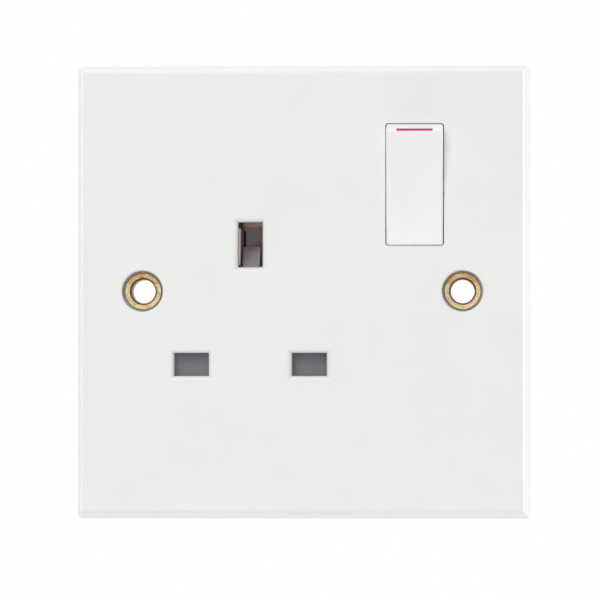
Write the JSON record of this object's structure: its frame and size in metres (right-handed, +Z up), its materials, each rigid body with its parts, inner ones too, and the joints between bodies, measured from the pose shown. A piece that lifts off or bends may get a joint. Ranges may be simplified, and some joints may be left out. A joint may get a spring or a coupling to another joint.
{
  "type": "switched wall socket",
  "caption": "Square flush wall socket outlet for a plug with flat pins, with a rocker switch, brass fixing bushes and a shuttered inside.",
  "frame": {"origin": "on the wall plane, midway between the axes of the two fixing holes", "axes": "+X to the right as seen from the room, +Y into the wall, +Z up"},
  "size_m": [0.086, 0.029, 0.086],
  "materials": {
    "plate": "smooth moulded urea resin, soft gloss",
    "base": "moulded urea resin, fine matt",
    "rocker": "moulded, soft gloss",
    "shutter": "moulded nylon, satin",
    "plunger": "moulded nylon, satin",
    "bush": "turned, lightly scratched",
    "strap": "rolled strip",
    "rivet": "cold headed",
    "earth_contact": "pressed copper alloy strip",
    "contact": "pressed strip",
    "arm": "pressed strip",
    "contact_tip": "silver faced",
    "terminal": "sawn and drilled bar",
    "terminal_screw": "turned",
    "base_screw": "zinc plated",
    "spring": "drawn wire"
  },
  "bodies": {
    "housing": {"front_plate": "plate", "rear_base": "base", "fixing_bush_left": "bush", "fixing_bush_right": "bush", "earth_strap": "strap", "earth_strap_rivet": "rivet", "earth_contact": "earth_contact", "neutral_contact": "contact", "line_contact": "contact", "line_feed_strip": "contact", "fixed_contact_tip": "contact_tip", "earth_terminal": "terminal", "neutral_terminal": "terminal", "line_terminal": "terminal", "shutter_spring": "spring", "base_screw_upper": "base_screw", "base_screw_middle": "base_screw", "base_screw_lower": "base_screw"},
    "rocker": {"rocker": "rocker", "rocker_spring": "spring"},
    "plunger": {"rocker_plunger": "plunger"},
    "switch_arm": {"moving_contact": "arm", "moving_contact_tip": "contact_tip"},
    "shutter": {"shutter": "shutter"},
    "earth_screw": {"earth_terminal_screw": "terminal_screw"},
    "line_screw": {"line_terminal_screw": "terminal_screw"},
    "neutral_screw": {"neutral_terminal_screw": "terminal_screw"}
  },
  "joints": [
    {"name": "rocker_tilt", "type": "hinge", "parent": "housing", "child": "rocker", "pos_m": [0.02115, -0.006, 0.02003], "axis": [1, 0, 0], "range_deg": [-16.8, 0]},
    {"name": "switch_arm_rock", "type": "hinge", "parent": "housing", "child": "switch_arm", "pos_m": [0.02115, 0.0042, 0.02003], "axis": [1, 0, 0], "range_deg": [0, 20.4]},
    {"name": "plunger_slide", "type": "slide", "parent": "rocker", "child": "plunger", "axis": [0, -0.9893, -0.1461], "range_m": [0, 0.0008], "stiffness_N_per_m": 800, "springref_m": -0.003, "deforming": ["rocker_spring"]},
    {"name": "shutter_slide", "type": "slide", "parent": "housing", "child": "shutter", "axis": [0, 0, 1], "range_m": [-0.00515, 0], "stiffness_N_per_m": 200, "springref_m": 0.003, "deforming": ["shutter_spring"]},
    {"name": "earth_screw_travel", "type": "slide", "parent": "housing", "child": "earth_screw", "axis": [0, -1, 0], "range_m": [0, 0.004]},
    {"name": "line_screw_travel", "type": "slide", "parent": "housing", "child": "line_screw", "axis": [0, -1, 0], "range_m": [0, 0.004]},
    {"name": "neutral_screw_travel", "type": "slide", "parent": "housing", "child": "neutral_screw", "axis": [0, -1, 0], "range_m": [0, 0.004]}
  ],
  "couplings": [
    {"joint": "switch_arm_rock", "follows": "rocker_tilt", "ratio": -1.2143}
  ]
}
